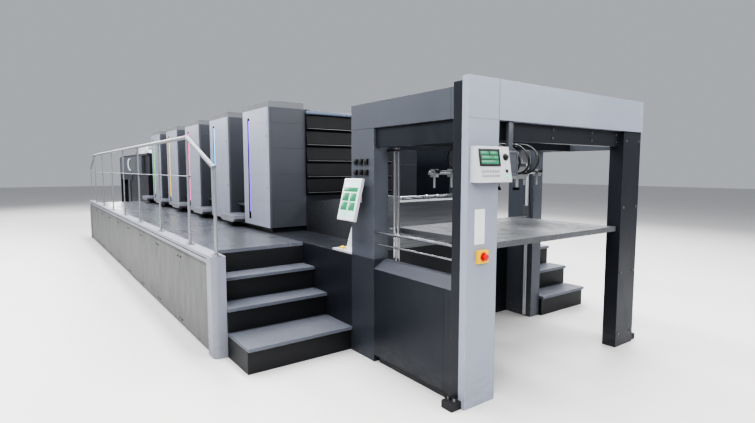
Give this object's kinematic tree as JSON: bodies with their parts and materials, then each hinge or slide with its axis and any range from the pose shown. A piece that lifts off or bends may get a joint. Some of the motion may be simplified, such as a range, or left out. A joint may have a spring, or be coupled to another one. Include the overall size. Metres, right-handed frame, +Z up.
{
  "type": "offset printing press",
  "caption": "Sheet-fed offset printing press with feeder, printing units, coating unit, extended delivery, side galleries and electrical cabinets.",
  "frame": {"origin": "on the floor under the middle of the whole outline, galleries and cabinets included", "axes": "+X along the press towards the feeder, +Y towards the drive side, +Z up"},
  "size_m": [14.32, 4.9, 2.455],
  "materials": {
    "cover_light": "satin light grey paint",
    "cover_mid": "satin mid grey paint",
    "body_dark": "satin anthracite paint",
    "guard_black": "semi-gloss black paint",
    "sheet_blue_grey": "gloss blue-grey paint",
    "tread_grey": "ribbed grey tread paint",
    "floor_grey": "worn dark grey floor sheet",
    "skirt_grey": "matt warm grey paint",
    "rail_grey": "satin grey paint",
    "fountain_steel": "dark ground steel",
    "roller_chrome": "polished, slightly inked",
    "head_silver": "anodised",
    "board_steel": "scuffed grey paint",
    "tray_plastic": "matt grey tray",
    "panel_white": "satin panel with a screen",
    "light_strip": "lit strip"
  },
  "bodies": {
    "press": {"machine_bed": "body_dark", "unit_bodies": "body_dark", "os_covers": "cover_light", "unit_lights": "light_strip", "unit_trays": "tray_plastic", "louvred_guards": "guard_black", "roller_covers": "sheet_blue_grey", "ink_fountains": "fountain_steel", "ds_covers": "cover_mid", "unit_steps": "tread_grey", "cylinder_covers": "sheet_blue_grey", "feeder_portal": "cover_light", "feeder_posts": "body_dark", "feeder_os_wall": "body_dark", "feeder_columns": "cover_mid", "feeder_suction_head": "head_silver", "feeder_touch_screen": "panel_white", "feed_table": "head_silver", "control_panels": "panel_white", "os_gallery": "floor_grey", "os_skirt": "skirt_grey", "gallery_rims": "cover_light", "railings": "rail_grey", "gallery_stairs": "tread_grey", "ds_gallery": "body_dark", "delivery_portal": "cover_light", "delivery_frame": "body_dark", "delivery_hoods": "cover_mid", "delivery_body": "body_dark", "roof_boxes": "cover_light", "riser_hood": "sheet_blue_grey", "cabinets": "body_dark", "cabinet_hoods": "cover_light", "service_boxes": "body_dark"},
    "ink_roller_1": {"ink_roller_1": "roller_chrome"},
    "ink_roller_2": {"ink_roller_2": "roller_chrome"},
    "ink_roller_3": {"ink_roller_3": "roller_chrome"},
    "ink_roller_4": {"ink_roller_4": "roller_chrome"},
    "feeder_pile_board": {"feeder_pile_board": "board_steel"},
    "delivery_pile_board": {"delivery_pile_board": "board_steel"},
    "brake_roller": {"brake_roller": "roller_chrome"},
    "cabinet_door_1a": {"cabinet_door_1a": "cover_light"},
    "cabinet_door_1b": {"cabinet_door_1b": "cover_light"},
    "cabinet_door_2a": {"cabinet_door_2a": "cover_light"},
    "cabinet_door_2b": {"cabinet_door_2b": "cover_light"},
    "cabinet_door_3a": {"cabinet_door_3a": "cover_light"},
    "cabinet_door_3b": {"cabinet_door_3b": "cover_light"}
  },
  "joints": [
    {"name": "ink_roller_1_turn", "type": "hinge", "parent": "press", "child": "ink_roller_1", "pos_m": [3.36, -0.2, 2.215], "axis": [0, 1, 0], "continuous": true},
    {"name": "ink_roller_2_turn", "type": "hinge", "parent": "press", "child": "ink_roller_2", "pos_m": [1.96, -0.2, 2.215], "axis": [0, 1, 0], "continuous": true},
    {"name": "ink_roller_3_turn", "type": "hinge", "parent": "press", "child": "ink_roller_3", "pos_m": [0.56, -0.2, 2.215], "axis": [0, 1, 0], "continuous": true},
    {"name": "ink_roller_4_turn", "type": "hinge", "parent": "press", "child": "ink_roller_4", "pos_m": [-0.84, -0.2, 2.215], "axis": [0, 1, 0], "continuous": true},
    {"name": "brake_roller_turn", "type": "hinge", "parent": "press", "child": "brake_roller", "pos_m": [-5.43, -0.2, 1.64], "axis": [0, 1, 0], "continuous": true},
    {"name": "feeder_board_lift", "type": "slide", "parent": "press", "child": "feeder_pile_board", "axis": [0, 0, 1], "range_m": [-1.05, 0.25]},
    {"name": "delivery_board_lift", "type": "slide", "parent": "press", "child": "delivery_pile_board", "axis": [0, 0, 1], "range_m": [-0.94, 0.35]},
    {"name": "cabinet_door_1a_hinge", "type": "hinge", "parent": "press", "child": "cabinet_door_1a", "pos_m": [-2.258, 2.415, 1.1], "axis": [0, 0, 1], "range_deg": [0, 100]},
    {"name": "cabinet_door_1b_hinge", "type": "hinge", "parent": "press", "child": "cabinet_door_1b", "pos_m": [-1.082, 2.415, 1.1], "axis": [0, 0, -1], "range_deg": [0, 100]},
    {"name": "cabinet_door_2a_hinge", "type": "hinge", "parent": "press", "child": "cabinet_door_2a", "pos_m": [1.042, 2.415, 1.1], "axis": [0, 0, 1], "range_deg": [0, 100]},
    {"name": "cabinet_door_2b_hinge", "type": "hinge", "parent": "press", "child": "cabinet_door_2b", "pos_m": [2.218, 2.415, 1.1], "axis": [0, 0, -1], "range_deg": [0, 100]},
    {"name": "cabinet_door_3a_hinge", "type": "hinge", "parent": "press", "child": "cabinet_door_3a", "pos_m": [2.542, 2.415, 1.1], "axis": [0, 0, 1], "range_deg": [0, 100]},
    {"name": "cabinet_door_3b_hinge", "type": "hinge", "parent": "press", "child": "cabinet_door_3b", "pos_m": [3.718, 2.415, 1.1], "axis": [0, 0, -1], "range_deg": [0, 100]}
  ]
}
